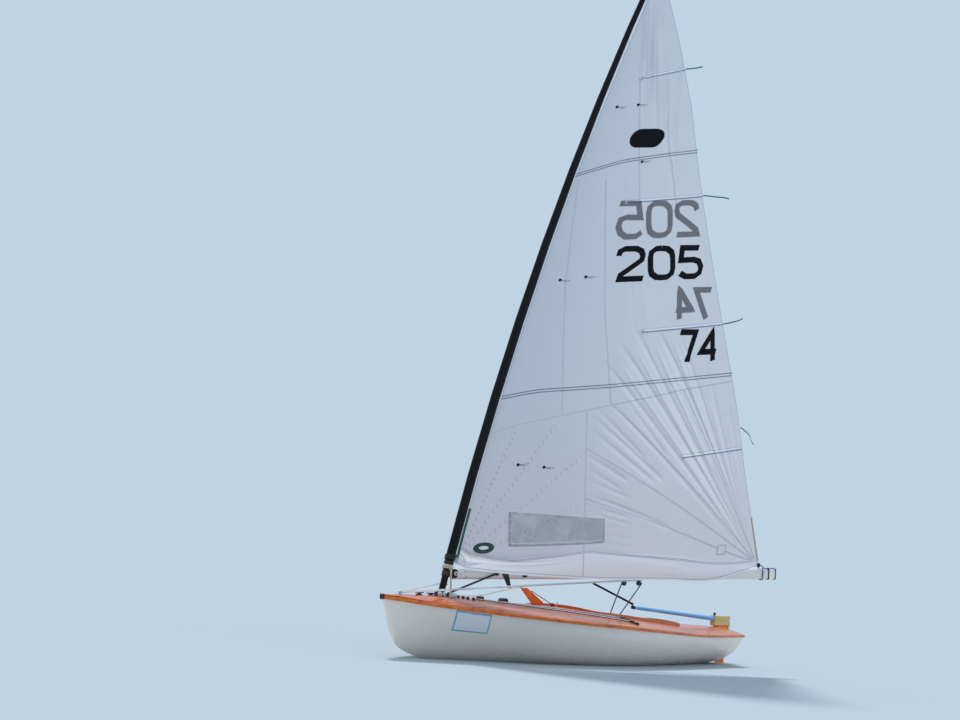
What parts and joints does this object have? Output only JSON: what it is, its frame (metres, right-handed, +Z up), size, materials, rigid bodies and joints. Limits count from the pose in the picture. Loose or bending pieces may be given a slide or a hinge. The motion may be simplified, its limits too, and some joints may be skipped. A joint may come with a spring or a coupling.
{
  "type": "sailing dinghy",
  "caption": "Wooden single-handed sailing dinghy with a round-bilge hull, crowned varnished deck, unstayed rotating mast, boom and sail.",
  "frame": {"origin": "on the centreline at the foot of the transom, at the height of the static waterline", "axes": "+X forward towards the bow, +Y to port, +Z up"},
  "size_m": [5.304, 2.0699, 7.6145],
  "materials": {
    "hull_paint": "gloss grey-white paint over moulded planking",
    "deck_wood": "high gloss varnish",
    "rail_wood": "gloss varnish",
    "inner_wood": "satin varnish",
    "blade_wood": "gloss varnish",
    "webbing": "woven webbing",
    "black_plastic": "matt black",
    "steel": "stainless",
    "carbon": "clear-coated carbon fibre",
    "boom_paint": "satin white",
    "sailcloth": "crisp woven polyester",
    "rudder_paint": "ochre satin",
    "tiller_paint": "satin light blue"
  },
  "bodies": {
    "hull": {"hull_shell": "hull_paint", "foredeck": "deck_wood", "aft_deck": "deck_wood", "side_deck_port": "deck_wood", "side_deck_starboard": "deck_wood", "rub_rail_port": "rail_wood", "rub_rail_starboard": "rail_wood", "coaming": "rail_wood", "front_bulkhead": "inner_wood", "aft_bulkhead": "inner_wood", "centreboard_case": "inner_wood", "floor_boards": "inner_wood", "toe_strap_port": "webbing", "toe_strap_starboard": "webbing", "mast_step": "inner_wood", "mast_collar": "black_plastic", "stem_cap": "black_plastic", "bow_fairlead": "steel", "deck_block": "black_plastic", "deck_dome": "black_plastic", "cleat_fore": "black_plastic", "cleat_mast": "black_plastic", "transom_gudgeons": "steel", "sheet_pedestal": "steel"},
    "rig": {"mast": "carbon", "boom": "boom_paint", "boom_end": "boom_paint", "gooseneck": "black_plastic", "sail": "sailcloth", "sheet_blocks": "black_plastic"},
    "rudder": {"rudder_head": "rudder_paint", "rudder_cheeks": "blade_wood", "pintle_lower": "steel", "pintle_upper": "steel", "tiller": "tiller_paint", "tiller_joint": "black_plastic", "tiller_extension": "carbon"},
    "rudder_blade": {"rudder_blade": "blade_wood"},
    "centreboard": {"centreboard": "blade_wood"}
  },
  "joints": [
    {"name": "rig_swing", "type": "hinge", "parent": "hull", "child": "rig", "pos_m": [4.208, 0, 0.569], "axis": [-0.2571, 0, 0.9664], "range_deg": [-65, 105]},
    {"name": "rudder_turn", "type": "hinge", "parent": "hull", "child": "rudder", "pos_m": [-0.036, 0, 0.16], "axis": [0, 0, 1], "range_deg": [-40, 40]},
    {"name": "rudder_lift", "type": "hinge", "parent": "rudder", "child": "rudder_blade", "pos_m": [-0.165, 0, 0.13], "axis": [0, 1, 0], "range_deg": [0, 75]},
    {"name": "centreboard_swing", "type": "hinge", "parent": "hull", "child": "centreboard", "pos_m": [3.08, 0, -0.02], "axis": [0, 1, 0], "range_deg": [-15, 40]}
  ]
}
